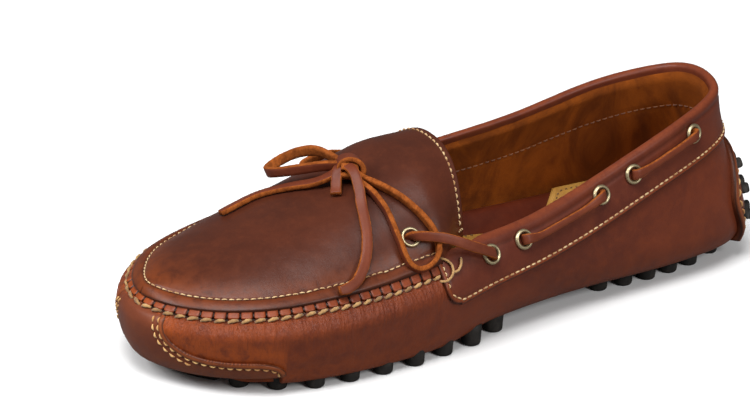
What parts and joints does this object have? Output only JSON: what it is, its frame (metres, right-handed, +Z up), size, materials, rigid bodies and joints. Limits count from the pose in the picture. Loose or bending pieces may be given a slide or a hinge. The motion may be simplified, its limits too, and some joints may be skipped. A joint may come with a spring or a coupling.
{
  "type": "driving moccasin",
  "caption": "Men's slip-on driving moccasin for the left foot, with a sewn-in apron, a laced collar, a bow and a sole of rubber pegs.",
  "frame": {"origin": "centre of the footprint's box, on the ground", "axes": "+Z up, -Y towards the toe, +X towards the outer side of the foot"},
  "size_m": [0.0998, 0.2921, 0.0809],
  "materials": {
    "leather": "waxed pull-up leather, semi-gloss",
    "suede": "suede, matt",
    "sock_leather": "padded lining leather, satin",
    "rawhide_lace": "cut leather lace, smooth face and rough flesh side",
    "rubber": "moulded rubber, matt",
    "antique_brass": "antique, satin",
    "thread": "twisted thread",
    "waxed_thread": "thick waxed thread"
  },
  "bodies": {
    "rearfoot": {"wrap_rear": "leather", "wrap_bend_zone": "leather", "apron_bend_zone": "leather", "apron_vamp": "leather", "heel_patch": "leather", "back_stay": "leather", "collar": "leather", "quarter_lining": "suede", "heel_counter": "suede", "footbed_rear": "leather", "heel_sock": "sock_leather", "heel_peg_plate": "rubber", "ball_peg_plate": "rubber", "heel_back_peg_plate": "rubber", "collar_eyelets": "antique_brass", "apron_eyelets": "antique_brass", "lace": "rawhide_lace", "lace_knot": "rawhide_lace", "lace_ends": "rawhide_lace", "pucker_thread_rear": "waxed_thread", "apron_stitching_rear": "thread", "collar_stitching": "thread", "heel_patch_stitching": "thread", "back_stay_stitching": "thread", "sock_stitching": "thread"},
    "forefoot": {"wrap_toe": "leather", "apron_toe": "leather", "toe_patch": "leather", "footbed_toe": "leather", "toe_peg_plate": "rubber", "pucker_thread_toe": "waxed_thread", "apron_stitching_toe": "thread", "toe_patch_stitching": "thread"},
    "tongue_flap": {"tongue": "leather", "tongue_stitching": "thread"},
    "bow_loop_outer": {"bow_loop_outer": "rawhide_lace"},
    "bow_loop_inner": {"bow_loop_inner": "rawhide_lace"}
  },
  "joints": [
    {"name": "toe_bend", "type": "hinge", "parent": "rearfoot", "child": "forefoot", "pos_m": [0, -0.0779, 0.008], "axis": [-1, 0, 0], "range_deg": [0, 25], "deforming": ["wrap_bend_zone", "apron_bend_zone", "lace_ends"]},
    {"name": "tongue_lift", "type": "hinge", "parent": "rearfoot", "child": "tongue_flap", "pos_m": [0, -0.0184, 0.0752], "axis": [1, 0, 0], "range_deg": [0, 18]},
    {"name": "bow_loop_outer_lift", "type": "hinge", "parent": "rearfoot", "child": "bow_loop_outer", "pos_m": [0.0002, -0.0513, 0.0707], "axis": [0.2599, -0.9656, 0], "range_deg": [0, 60]},
    {"name": "bow_loop_inner_lift", "type": "hinge", "parent": "rearfoot", "child": "bow_loop_inner", "pos_m": [0.0002, -0.0513, 0.0707], "axis": [-0.4472, 0.8944, 0], "range_deg": [0, 45]}
  ]
}
